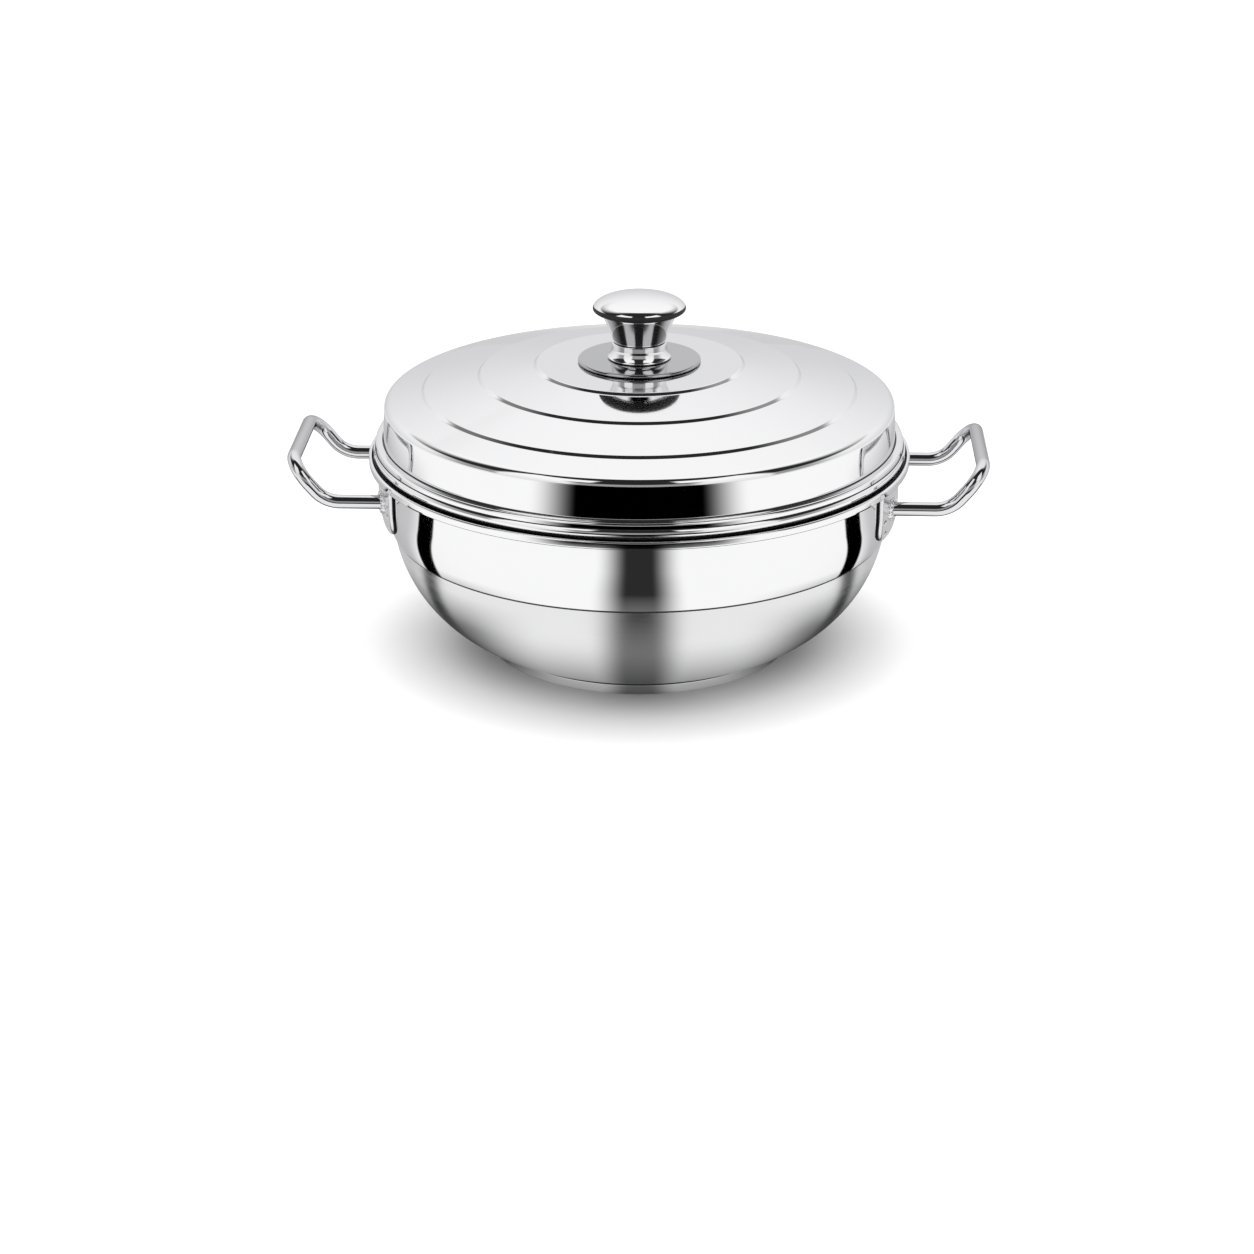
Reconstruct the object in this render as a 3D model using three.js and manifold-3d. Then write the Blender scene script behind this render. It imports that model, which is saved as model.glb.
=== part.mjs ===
// A covered stainless steel kadai: a stepped bowl on a sandwich base, two bent wire handles welded to
// tongue brackets, and a lift-off lid with pressed rings and a built-up knob.
// Millimetres, +Z up. The origin is the middle of the underside, and the handles lie along X.
import * as THREE from "three";
import { mergeVertices } from "three/addons/utils/BufferGeometryUtils.js";
import Module from "manifold-3d";

// Clearance between pieces that touch, and facets round each form
const seatGap = 0.3;
const shellFacets = 44;
const knobFacets = 28;
const screwFacets = 16;
const wireFacets = 12;
const wireSteps = 44;

// Sandwich base: a steel capsule pressed over an aluminium core
const baseRadius = 78.3;
const capsuleSheet = 0.8;
const capsuleCorner = 1.4;
const coreThickness = 3.8;

// Bowl, measured on the outside of its sheet
const mouthRadius = 130;
const bowlSheet = 1.0;
const floorInset = 1.8;
const stepHeight = 64.2;
const stepInset = 0.9;
const stepDrop = 1.1;
const lowerLeanDegrees = 9;
const wallDrawIn = 4.4;
const wallCurveHeight = 21;
const ledgeHeight = 102.4;
const ledgeWidth = 5.4;
const ledgeBend = 1.4;
const hemRise = 1.0;
const hemDepth = 4.0;
const hemCorner = 0.8;

// Lid, measured on the top of its sheet
const lidSheet = 0.8;
const lidPlay = 0.4;
const lidWallInset = 0.2;
const lidCurlRadius = 3.2;
const curlStartDegrees = 50;
const curlEndDegrees = -190;
const lipHeight = 2.3;
const lipBend = 1.5;
const shoulderHeight = 19.3;
const shoulderBend = 7;
const wallLean = 0.8;
const outerRingInset = 19.0;
const outerRingHeight = 23.6;
const ringSpacing = 28.4;
const middleRingHeight = 31.0;
const innerRingHeight = 36.3;
const ringRise = 1.4;
const ringRiserWidth = 1.4;
const crownHeight = 37.9;

// Knob, from the lid upwards
const saucerRadius = 31;
const saucerSheet = 0.9;
const saucerFlat = 17.5;
const saucerRise = 2.0;
const saucerEdge = 1.3;
const saucerEdgeDegrees = 110;
const collarHeight = 9.0;
const collarFootRadius = 16.1;
const collarFootBend = 1.2;
const collarFootDegrees = 20;
const collarTopRadius = 13.9;
const collarLand = 2.2;
const cupBottomRadius = 13.0;
const cupTopRadius = 19.0;
const cupHeight = 14.5;
const cupHollow = 0.7;
const cupSheet = 0.9;
const cupFloor = 1.2;
const capRadius = 23.4;
const capSeatWidth = 0.4;
const capUnderside = 2.1;
const capDome = 7.5;
const capSheet = 0.9;
const capSkirt = 3.6;

// Screw that holds the knob, with its washer and the threaded insert in the cup
const screwRadius = 2.5;
const screwTipChamfer = 0.8;
const screwHeadRadius = 4.8;
const screwHeadHeight = 2.8;
const screwHeadBend = 1.2;
const screwEngagement = 8.0;
const washerRadius = 7.5;
const washerThickness = 1.0;
const insertRadius = 7.0;
const insertHeight = 10.0;

// Wire handles and the tongue brackets that they are welded to
const wireRadius = 3.5;
const legSpacing = 76;
const gripLength = 78;
const legDrop = 16.8;
const legLength = 25.5;
const gripRise = 19.8;
const gripOut = 16.3;
const elbowBend = 13;
const gripBend = 11;
const bracketWidth = 30;
const bracketHeight = 28.5;
const bracketThickness = 2.0;
const bracketCorner = 11;
const weldWidth = 2.0;
const weldHeight = 2.4;
const spotRadius = 1.5;
const spotDepth = 0.6;
const spotSpacing = 4.6;
const spotFirstDrop = 7.8;
const spotCount = 2;

// Finishes
const mirrorSteel = { color: 0xd9dadb, roughness: 0.08, metalness: 1 };
const satinSteel = { color: 0xc4c5c7, roughness: 0.32, metalness: 1 };
const bareAluminium = { color: 0xb9bbbe, roughness: 0.5, metalness: 1 };
const zincPlate = { color: 0xa9adb0, roughness: 0.35, metalness: 1 };

// Radii and heights that follow from the stack of pieces
const coreBottom = capsuleSheet + seatGap;
const floorHeight = coreBottom + coreThickness + seatGap;
const wallRadius = mouthRadius + bowlSheet;
const underLedge = ledgeHeight - bowlSheet;
const hemInside = mouthRadius + ledgeWidth;
const hemRadius = hemInside + 2 * bowlSheet;
const hemTop = ledgeHeight + hemRise;
const hemBottom = hemTop - hemDepth;
const lidSeat = ledgeHeight + seatGap;
const curlHeight = lidSeat + lidCurlRadius;
const curlRadius = hemInside - lidPlay - lidCurlRadius;
const flangeHeight = curlHeight + lidCurlRadius + lipHeight;
const lidWallRadius = mouthRadius - lidWallInset;
const crownTop = flangeHeight + crownHeight;
const saucerBottom = crownTop + seatGap;
const saucerTop = saucerBottom + saucerSheet;
const collarBottom = saucerTop + seatGap;
const collarTop = collarBottom + collarHeight;
const cupBottom = collarTop + seatGap;
const capBottom = cupBottom + cupHeight + seatGap;
const insertBottom = cupBottom + cupFloor + seatGap;
const washerTop = crownTop - lidSheet - seatGap;
const washerBottom = washerTop - washerThickness;
const screwHole = screwRadius + seatGap;
const legHeight = ledgeHeight - legDrop;
const bracketTop = hemBottom - seatGap;
const bracketBottom = bracketTop - bracketHeight;

const wasm = await Module();
wasm.setup();
const kadai = new THREE.Group();
const { degToRad, radToDeg, lerp } = THREE.MathUtils;
const point = (r, z) => new THREE.Vector2(r, z);

function place(name, geometry, finish) {
  const mesh = new THREE.Mesh(geometry, new THREE.MeshStandardMaterial(finish));
  mesh.name = name;
  kadai.add(mesh);
}

// Points along an arc of a section, with angles in degrees from the outward direction
function arc(centreR, centreZ, radius, from, to, steps) {
  return Array.from({ length: steps + 1 }, (_, i) => {
    const angle = degToRad(lerp(from, to, i / steps));
    return point(centreR + radius * Math.cos(angle), centreZ + radius * Math.sin(angle));
  });
}

// Points along an oval of a section, with its own width and height from the centre
function oval(centreR, centreZ, width, height, from, to, steps) {
  return Array.from({ length: steps + 1 }, (_, i) => {
    const angle = degToRad(lerp(from, to, i / steps));
    return point(centreR + width * Math.cos(angle), centreZ + height * Math.sin(angle));
  });
}

// A bend between two straight runs of a section, as an arc that touches both
function bend(before, corner, after, radius, steps) {
  const back = before.clone().sub(corner).normalize();
  const ahead = after.clone().sub(corner).normalize();
  const half = Math.acos(back.dot(ahead)) / 2;
  const middle = back.clone().add(ahead).normalize();
  const centre = corner.clone().addScaledVector(middle, radius / Math.sin(half));
  const start = corner.clone().addScaledVector(back, radius / Math.tan(half)).sub(centre).angle();
  const turn = Math.sign(ahead.cross(back)) * (Math.PI - 2 * half);
  return arc(centre.x, centre.y, radius, radToDeg(start), radToDeg(start + turn), steps);
}

// The other face of a sheet: its line moved by a distance to the left of its direction
function offset(line, distance) {
  const leftOf = (a, b) => point(a.y - b.y, b.x - a.x).normalize();
  return line.map((p, i) => {
    const before = i > 0 ? leftOf(line[i - 1], p) : leftOf(p, line[i + 1]);
    const after = i < line.length - 1 ? leftOf(p, line[i + 1]) : before;
    const mitre = before.clone().add(after).normalize();
    return p.clone().addScaledVector(mitre, distance / mitre.dot(after));
  });
}

// Turns a section (radius, height) that starts and ends on the upright axis
function turned(section, facets) {
  const geometry = new THREE.LatheGeometry(section, facets);
  geometry.rotateX(Math.PI / 2);
  return geometry;
}

// Turns a section that stays off the axis and closes on itself
function turnedRing(section, facets) {
  return turned([...section, section[0].clone()], facets);
}

// A plain ring with a bore for the knob's screw
function bored(radius, bottom, top) {
  return turnedRing([
    point(screwHole, bottom),
    point(radius, bottom),
    point(radius, top),
    point(screwHole, top),
  ], screwFacets);
}

function solid(geometry) {
  const bare = geometry.clone();
  bare.deleteAttribute("normal");
  bare.deleteAttribute("uv");
  const merged = mergeVertices(bare);
  const corners = merged.index.array;
  const kept = [];
  for (let i = 0; i < corners.length; i += 3) {
    const [a, b, c] = corners.slice(i, i + 3);
    if (a !== b && b !== c && c !== a) kept.push(a, b, c);
  }
  return new wasm.Manifold(new wasm.Mesh({
    numProp: 3,
    vertProperties: merged.attributes.position.array,
    triVerts: new Uint32Array(kept),
  }));
}

function geometryOf(body) {
  const mesh = body.getMesh();
  const geometry = new THREE.BufferGeometry();
  geometry.setAttribute("position", new THREE.BufferAttribute(mesh.vertProperties, 3));
  geometry.setIndex(new THREE.BufferAttribute(mesh.triVerts, 1));
  geometry.computeVertexNormals();
  return geometry;
}

function baseCore() {
  const radius = baseRadius - capsuleSheet - seatGap;
  const top = coreBottom + coreThickness;
  return turned([
    point(0, coreBottom),
    point(radius, coreBottom),
    point(radius, top),
    point(0, top),
  ], shellFacets);
}

function baseCapsule() {
  const inside = baseRadius - capsuleSheet;
  const top = floorHeight - seatGap;
  return turned([
    point(0, 0),
    ...arc(baseRadius - capsuleCorner, capsuleCorner, capsuleCorner, -90, 0, 2),
    point(baseRadius, top),
    point(inside, top),
    point(inside, capsuleSheet),
    point(0, capsuleSheet),
  ], shellFacets);
}

// The outside of the upper wall from the step upwards: drawn in by a long curve, then upright
function wallLine(top) {
  const curve = (wallCurveHeight ** 2 + wallDrawIn ** 2) / (2 * wallDrawIn);
  const lean = radToDeg(Math.asin(wallCurveHeight / curve));
  const drawn = arc(wallRadius - curve, stepHeight + wallCurveHeight, curve, -lean, 0, 3);
  return [...drawn, point(wallRadius, top)];
}

// The lower bowl is one arc from the floor's edge to the step, leaning in a little at the step
function lowerLine() {
  const step = point(wallRadius - wallDrawIn - stepInset, stepHeight - stepDrop);
  const floorEdge = point(baseRadius - floorInset, floorHeight);
  const lean = degToRad(lowerLeanDegrees);
  const outward = point(Math.cos(lean), -Math.sin(lean));
  const chord = step.clone().sub(floorEdge);
  const radius = chord.lengthSq() / (2 * chord.dot(outward));
  const centre = step.clone().addScaledVector(outward, -radius);
  const fromFloor = radToDeg(floorEdge.clone().sub(centre).angle()) - 360;
  return arc(centre.x, centre.y, radius, fromFloor, -lowerLeanDegrees, 6);
}

// One pressing: a flat floor, the lower bowl, a step that carries plates inside, the upper wall, and a ledge
// for the lid with the edge folded down as a flat hem that stands a little above it
function bowlShell() {
  const bendTop = underLedge - ledgeBend;
  const outside = [
    point(0, floorHeight),
    ...lowerLine(),
    ...wallLine(bendTop).slice(0, -1),
    ...arc(wallRadius + ledgeBend, bendTop, ledgeBend, 180, 90, 2),
    point(hemInside, underLedge),
  ];
  const inside = offset(outside, bowlSheet);
  const hem = [
    point(hemInside, hemBottom),
    point(hemRadius, hemBottom),
    ...arc(hemRadius - hemCorner, hemTop - hemCorner, hemCorner, 0, 90, 2),
    point(hemInside, hemTop),
  ];
  return turned([...outside, ...hem, ...inside.reverse()], shellFacets);
}

// One pressing: a crown with three stepped rings, a shoulder, a wall, a flange, and an edge that is turned
// down and curled under to make the bead that sits on the bowl's ledge
function lidShell() {
  const shoulder = point(lidWallRadius - wallLean, flangeHeight + shoulderHeight);
  const foot = point(lidWallRadius, flangeHeight);
  const ringFoot = [
    [2 * ringSpacing, innerRingHeight],
    [ringSpacing, middleRingHeight],
    [0, outerRingHeight],
  ].map(([inwards, height]) => point(shoulder.x - outerRingInset - inwards, flangeHeight + height));
  const rings = ringFoot.flatMap((p) => [point(p.x - ringRiserWidth, p.y + ringRise), p]);
  const lipRadius = curlRadius + lidCurlRadius * Math.cos(degToRad(curlStartDegrees));
  const top = [
    point(screwHole, crownTop),
    ...rings,
    ...bend(ringFoot[2], shoulder, foot, shoulderBend, 3),
    foot,
    ...arc(lipRadius - lipBend, flangeHeight - lipBend, lipBend, 90, 0, 2),
    ...arc(curlRadius, curlHeight, lidCurlRadius, curlStartDegrees, curlEndDegrees, 6),
  ];
  const underside = offset(top, -lidSheet);
  return turnedRing([...underside, ...top.reverse()], shellFacets);
}

// A shallow dish with its edge rolled down towards the lid
function knobSaucer() {
  const edgeTop = saucerTop + saucerRise;
  const edge = arc(saucerRadius - saucerEdge, edgeTop - saucerEdge, saucerEdge, saucerEdgeDegrees, 0, 3);
  const dish = new THREE.QuadraticBezierCurve(
    point(saucerFlat, saucerTop),
    point((saucerFlat + saucerRadius) / 2, saucerTop),
    edge[0],
  );
  const top = [
    point(screwHole, saucerTop),
    ...dish.getPoints(3).slice(0, -1),
    ...edge,
    point(saucerRadius, saucerBottom + seatGap),
  ];
  const underside = offset(top, -saucerSheet);
  return turnedRing([...underside, ...top.reverse()], knobFacets);
}

// A waisted ferrule between the saucer and the cup
function knobCollar() {
  const foot = arc(
    collarFootRadius - collarFootBend,
    collarBottom + collarFootBend,
    collarFootBend,
    -90,
    collarFootDegrees,
    3,
  );
  const landBottom = collarTop - collarLand;
  const waist = new THREE.QuadraticBezierCurve(
    foot[foot.length - 1],
    point(collarTopRadius, collarBottom + 2 * collarFootBend),
    point(collarTopRadius, landBottom),
  );
  return turnedRing([
    point(screwHole, collarBottom),
    ...foot,
    ...waist.getPoints(3).slice(1),
    point(collarTopRadius, collarTop),
    point(screwHole, collarTop),
  ], knobFacets);
}

// The outside of the cup at a share of its height: a taper that opens upwards, a little hollow
function cupRadiusAt(share) {
  const straight = lerp(cupBottomRadius, cupTopRadius, share);
  return straight - cupHollow * Math.sin(Math.PI * share);
}

// The waist of the knob: a thin funnel with a floor that the screw passes through
function knobCup() {
  const shares = [0, 0.25, 0.5, 0.75, 1];
  const flank = shares.map((share) => point(cupRadiusAt(share), cupBottom + cupHeight * share));
  const inside = flank.map((p) => point(p.x - cupSheet, Math.max(p.y, cupBottom + cupFloor)));
  return turnedRing([
    point(screwHole, cupBottom),
    ...flank,
    ...inside.reverse(),
    point(screwHole, cupBottom + cupFloor),
  ], knobFacets);
}

// An oval cap with a rounded rim and a skirt that fits into the cup
function knobCap() {
  const rim = capBottom + capUnderside;
  const seat = cupTopRadius + capSeatWidth;
  const skirtTop = cupTopRadius - cupSheet - seatGap;
  const skirtFoot = cupRadiusAt(1 - capSkirt / cupHeight) - cupSheet - seatGap;
  const skirtBottom = capBottom - seatGap - capSkirt;
  const insideRadius = capRadius - capSheet;
  const insideDome = capDome - capSheet;
  const insideAngle = radToDeg(Math.acos((skirtTop - capSheet) / insideRadius));
  const apex = (height) => point(0, height);
  return turned([
    apex(rim + insideDome),
    ...oval(0, rim, insideRadius, insideDome, 90, insideAngle, 3).slice(1),
    point(skirtFoot - capSheet, skirtBottom),
    point(skirtFoot, skirtBottom),
    point(skirtTop, capBottom),
    ...oval(seat, rim, capRadius - seat, capUnderside, -90, 0, 3),
    ...oval(0, rim, capRadius, capDome, 0, 90, 7).slice(1, -1),
    apex(rim + capDome),
  ], knobFacets);
}

function knobScrew() {
  const headTop = washerBottom - seatGap;
  const headBottom = headTop - screwHeadHeight;
  const tip = insertBottom + screwEngagement;
  return turned([
    point(0, headBottom),
    ...arc(screwHeadRadius - screwHeadBend, headBottom + screwHeadBend, screwHeadBend, -90, 0, 2),
    point(screwHeadRadius, headTop),
    point(screwRadius, headTop),
    point(screwRadius, tip - screwTipChamfer),
    point(screwRadius - screwTipChamfer, tip),
    point(0, tip),
  ], screwFacets);
}

// Everything inside a face that stands off the upper wall by a distance
function insideOffset(distance) {
  const face = offset(wallLine(ledgeHeight), -distance);
  return solid(turned([point(0, face[0].y), ...face, point(0, ledgeHeight)], 2 * shellFacets));
}

const bracketBack = insideOffset(seatGap);
const bracketFront = insideOffset(seatGap + bracketThickness);
const wireStop = insideOffset(2 * seatGap + bracketThickness);

// A tongue of plate curved to the wall, with the weld round the wire's end and the pits of its spot welds
function bracket(side, end) {
  const half = bracketWidth / 2;
  const cornerHeight = bracketBottom + bracketCorner;
  const legY = (end * legSpacing) / 2;
  const tongue = new THREE.Shape();
  tongue.moveTo(-half, bracketTop);
  tongue.absarc(-half + bracketCorner, cornerHeight, bracketCorner, Math.PI, 1.5 * Math.PI);
  tongue.absarc(half - bracketCorner, cornerHeight, bracketCorner, 1.5 * Math.PI, 2 * Math.PI);
  tongue.lineTo(half, bracketTop);
  const slab = new THREE.ExtrudeGeometry(tongue, {
    depth: hemRadius,
    bevelEnabled: false,
    curveSegments: 2,
  });
  slab.rotateX(Math.PI / 2);
  slab.rotateZ((side * Math.PI) / 2);
  slab.translate(0, legY, 0);
  const plate = solid(slab).intersect(bracketFront).subtract(bracketBack);

  const reach = Math.sqrt((wallRadius + seatGap + bracketThickness) ** 2 - legY ** 2);
  const inside = wireRadius + seatGap;
  const weld = turnedRing([
    point(inside, -weldHeight),
    point(inside + weldWidth, -weldHeight),
    point(inside + weldWidth, 0),
    point(inside, weldHeight),
  ], screwFacets);
  weld.rotateY((side * Math.PI) / 2);
  weld.translate(side * reach, legY, legHeight);
  let piece = plate.add(solid(weld).subtract(bracketBack));

  const ballRadius = (spotRadius ** 2 + spotDepth ** 2) / (2 * spotDepth);
  const proud = 1 + (ballRadius - spotDepth) / Math.hypot(reach, legY);
  for (let i = 0; i < spotCount; i += 1) {
    const ball = new THREE.SphereGeometry(ballRadius, 8, 6);
    const height = legHeight - spotFirstDrop - i * spotSpacing;
    ball.translate(side * reach * proud, legY * proud, height);
    piece = piece.subtract(solid(ball));
  }
  return geometryOf(piece);
}

// One length of wire: two legs straight out from the wall, bent up to a grip that stands clear of the rim
function handle(side) {
  const elbowReach = wallRadius + legLength;
  const gripReach = elbowReach + gripOut;
  const corner = (x, y, z) => new THREE.Vector3(side * x, y, z);
  const half = [legSpacing / 2, gripLength / 2];
  const legStart = mouthRadius - 2 * wireRadius;
  const stops = [
    corner(legStart, -half[0], legHeight),
    corner(elbowReach, -half[0], legHeight),
    corner(gripReach, -half[1], legHeight + gripRise),
    corner(gripReach, half[1], legHeight + gripRise),
    corner(elbowReach, half[0], legHeight),
    corner(legStart, half[0], legHeight),
  ];
  const bends = [elbowBend, gripBend, gripBend, elbowBend];
  const path = new THREE.CurvePath();
  let from = stops[0];
  bends.forEach((radius, i) => {
    const [before, here, after] = stops.slice(i, i + 3);
    const back = before.clone().sub(here).normalize();
    const ahead = after.clone().sub(here).normalize();
    const cut = radius / Math.tan(back.angleTo(ahead) / 2);
    const start = here.clone().addScaledVector(back, cut);
    const finish = here.clone().addScaledVector(ahead, cut);
    path.add(new THREE.LineCurve3(from, start));
    path.add(new THREE.QuadraticBezierCurve3(start, here, finish));
    from = finish;
  });
  path.add(new THREE.LineCurve3(from, stops[stops.length - 1]));
  const round = new THREE.Shape();
  round.absarc(0, 0, wireRadius, 0, 2 * Math.PI);
  const wire = new THREE.ExtrudeGeometry(round, {
    extrudePath: path,
    steps: wireSteps,
    curveSegments: wireFacets / 2,
  });
  return geometryOf(solid(wire).subtract(wireStop));
}

place("bowl_shell", bowlShell(), mirrorSteel);
place("base_core", baseCore(), bareAluminium);
place("base_capsule", baseCapsule(), satinSteel);
for (const [sideName, side] of [["left", -1], ["right", 1]]) {
  place(`handle_${sideName}`, handle(side), mirrorSteel);
  for (const [endName, end] of [["front", -1], ["back", 1]]) {
    place(`bracket_${sideName}_${endName}`, bracket(side, end), satinSteel);
  }
}
place("lid_shell", lidShell(), mirrorSteel);
place("knob_saucer", knobSaucer(), mirrorSteel);
place("knob_collar", knobCollar(), mirrorSteel);
place("knob_cup", knobCup(), mirrorSteel);
place("knob_cap", knobCap(), mirrorSteel);
place("knob_insert", bored(insertRadius, insertBottom, insertBottom + insertHeight), zincPlate);
place("knob_washer", bored(washerRadius, washerBottom, washerTop), zincPlate);
place("knob_screw", knobScrew(), zincPlate);

export default kadai;
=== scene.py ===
# %% [markdown]
# # A covered steel kadai
# The kadai is a pressed bowl on a thick base, two bent wire handles on welded brackets, and a lid that
# lifts off by a built-up knob. Almost everything on it was turned or spun on one upright axis, so most of
# this lesson is about drawing good half-sections. The rest is about polished steel, which has no colour of
# its own and shows only what stands around it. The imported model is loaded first. It fixes where every piece
# goes, so no piece here is placed by eye.

# %% Load the frame
import math

import bmesh
import bpy
import numpy as np
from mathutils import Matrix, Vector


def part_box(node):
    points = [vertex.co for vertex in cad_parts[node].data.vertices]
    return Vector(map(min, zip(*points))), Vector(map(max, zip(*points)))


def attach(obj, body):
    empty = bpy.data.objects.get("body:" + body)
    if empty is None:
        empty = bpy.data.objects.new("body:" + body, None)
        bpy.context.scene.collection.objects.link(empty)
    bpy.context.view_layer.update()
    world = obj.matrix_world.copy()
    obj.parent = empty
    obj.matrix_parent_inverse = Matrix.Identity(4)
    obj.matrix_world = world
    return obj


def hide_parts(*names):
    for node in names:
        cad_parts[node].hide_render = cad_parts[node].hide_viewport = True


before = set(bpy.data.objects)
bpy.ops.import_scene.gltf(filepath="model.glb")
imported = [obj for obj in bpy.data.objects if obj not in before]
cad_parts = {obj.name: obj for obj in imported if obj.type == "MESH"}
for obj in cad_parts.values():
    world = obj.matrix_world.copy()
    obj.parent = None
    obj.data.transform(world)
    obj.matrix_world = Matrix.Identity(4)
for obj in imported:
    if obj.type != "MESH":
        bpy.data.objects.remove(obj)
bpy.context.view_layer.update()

MM = 0.001

# %% [markdown]
# ## The camera
# The photograph looks down on the rim from about 22 degrees, from far away, and a little from the right.
# The widths of the rim, rings and base fit a focal length of about 3000 of its pixels, and the mouth of 260
# mm sets how many millimetres one pixel covers. A long lens and a small sideways shift repeat that framing.

# %% Camera
IMAGE_PIXELS = 1254
FOCAL_PIXELS = 3000
MM_PER_PIXEL = 0.5223
AXIS_COLUMN = 639.35
AIM_HEIGHT = 4.2
SENSOR_WIDTH = 36
camera_elevation = math.radians(22.4)
camera_azimuth = math.radians(2.2)

camera_data = bpy.data.cameras.new("camera")
camera_data.sensor_width = SENSOR_WIDTH
camera_data.lens = SENSOR_WIDTH * FOCAL_PIXELS / IMAGE_PIXELS
camera_data.shift_x = (IMAGE_PIXELS / 2 - AXIS_COLUMN) / IMAGE_PIXELS
camera = bpy.data.objects.new("camera", camera_data)
camera_distance = FOCAL_PIXELS * MM_PER_PIXEL * MM
level = camera_distance * math.cos(camera_elevation)
camera.location = (
    level * math.sin(camera_azimuth),
    -level * math.cos(camera_azimuth),
    AIM_HEIGHT * MM + camera_distance * math.sin(camera_elevation),
)
camera.rotation_euler = (math.pi / 2 - camera_elevation, 0, camera_azimuth)
bpy.context.collection.objects.link(camera)
bpy.context.scene.camera = camera
print(f"camera {camera_distance:.3f} m away, lens {camera_data.lens:.1f} mm")

# %% [markdown]
# ## Three small helpers for nodes
# Colours are written as sRGB hex values, as a paint chart gives them, and shaders want linear light. One
# function does that sum. The next adds a node, sets its properties, and fills each input with a value or a
# link. The last gives a material with an empty tree to fill.

# %% Colour and node helpers
def linear(hex_colour):
    """An sRGB hex colour as linear red, green, blue and alpha."""
    parts = [int(hex_colour[i:i + 2], 16) / 255 for i in (1, 3, 5)]
    return [p / 12.92 if p <= 0.04045 else ((p + 0.055) / 1.055) ** 2.4 for p in parts] + [1.0]


def add(tree, kind, inputs=None, **settings):
    """Adds one node. Each input takes a value, a node's output, or a node, which gives its first output."""
    node = tree.nodes.new(kind)
    for name, value in settings.items():
        setattr(node, name, value)
    for socket, source in (inputs or {}).items():
        if isinstance(source, bpy.types.Node):
            source = source.outputs[0]
        if isinstance(source, bpy.types.NodeSocket):
            tree.links.new(source, node.inputs[socket])
        else:
            node.inputs[socket].default_value = source
    return node


def blank_material(name):
    """A new material and its node tree, emptied."""
    material = bpy.data.materials.new(name)
    material.use_nodes = True
    material.node_tree.nodes.clear()
    return material, material.node_tree


print("steel white as linear light:", [round(c, 3) for c in linear("#f8f8f9")[:3]])

# %% [markdown]
# ## Lines that run round a turned piece
# A polishing wheel or a pad leaves its marks along the way the piece turns. The marks differ from line to
# line across the sheet and hardly change along one line. So the noise is read at the distance from the axis
# and the height, finely, and at the angle round the axis, coarsely. Both steels below share this small
# group of nodes.

# %% Marks that run round the axis
def marks_round_the_axis(tree, line_mm):
    """A noise value whose streaks run round the upright axis, with lines about line_mm wide."""
    place = add(tree, "ShaderNodeTexCoord")
    axes = add(tree, "ShaderNodeSeparateXYZ", {"Vector": place.outputs["Object"]})
    flat = add(tree, "ShaderNodeCombineXYZ", {"X": axes.outputs["X"], "Y": axes.outputs["Y"]})
    radius = add(tree, "ShaderNodeVectorMath", {0: flat}, operation="LENGTH")
    angle = add(tree, "ShaderNodeMath", {0: axes.outputs["Y"], 1: axes.outputs["X"]}, operation="ARCTAN2")
    across = add(tree, "ShaderNodeCombineXYZ", {"X": radius.outputs["Value"], "Y": axes.outputs["Z"]})
    per_line = 1 / (line_mm * MM)
    fine = add(tree, "ShaderNodeVectorMath", {0: across, "Scale": per_line}, operation="SCALE")
    along = add(tree, "ShaderNodeCombineXYZ", {"Z": angle})
    read = add(tree, "ShaderNodeVectorMath", {0: fine, 1: along}, operation="ADD")
    return add(tree, "ShaderNodeTexNoise", {"Vector": read, "Scale": 1.0, "Detail": 2.0, "Roughness": 0.6})


print("marks follow the axis through the origin")

# %% [markdown]
# ## Mirror-polished stainless steel
# The lid, the upper wall, the rim and the knob were buffed until they reflect like glass. Up close such
# steel still has faint buffing lines and hazier patches where hands and cloths have been. Both change only
# the roughness, by a few hundredths, because a real mirror finish has nothing to feel with a finger nail.
# At a flat angle polished steel is a little greyer than face on, and the edge tint sets that. Wire is drawn
# first and polished after, which leaves it greyer, with darker edges.

# %% Mirror-polished steel
BUFFING_LINE_MM = 0.8
SMUDGE_MM = 45
CLEAR_ROUGHNESS = 0.02
SMUDGED_ROUGHNESS = 0.06
LINE_ROUGHNESS = 0.04


def mirror_polished_stainless(name, colour, edge):
    """Buffed steel of a colour, with a tint for where it is seen at a flat angle."""
    material, tree = blank_material(name)
    lines = marks_round_the_axis(tree, BUFFING_LINE_MM)
    place = add(tree, "ShaderNodeTexCoord")
    smudge = add(tree, "ShaderNodeTexNoise", {
        "Vector": place.outputs["Object"], "Scale": 1 / (SMUDGE_MM * MM), "Detail": 3.0,
    })
    hazy = add(tree, "ShaderNodeMapRange", {
        "Value": smudge, "From Min": 0.45, "From Max": 0.75,
        "To Min": CLEAR_ROUGHNESS, "To Max": SMUDGED_ROUGHNESS,
    })
    rough = add(tree, "ShaderNodeMath", {0: lines, 1: LINE_ROUGHNESS, 2: hazy}, operation="MULTIPLY_ADD")
    steel = add(tree, "ShaderNodeBsdfPrincipled", {
        "Base Color": linear(colour),
        "Specular Tint": linear(edge),
        "Metallic": 1.0,
        "Roughness": rough,
    })
    add(tree, "ShaderNodeOutputMaterial", {"Surface": steel})
    return material


mirror_steel = mirror_polished_stainless("mirror_polished_stainless_steel", "#f8f8f9", "#e6e6e8")
wire_steel = mirror_polished_stainless("drawn_stainless_steel_wire_polished", "#e6e6e8", "#b8b8ba")
print(mirror_steel.name, "and", wire_steel.name, "with buffing lines of", BUFFING_LINE_MM, "mm")

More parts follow.
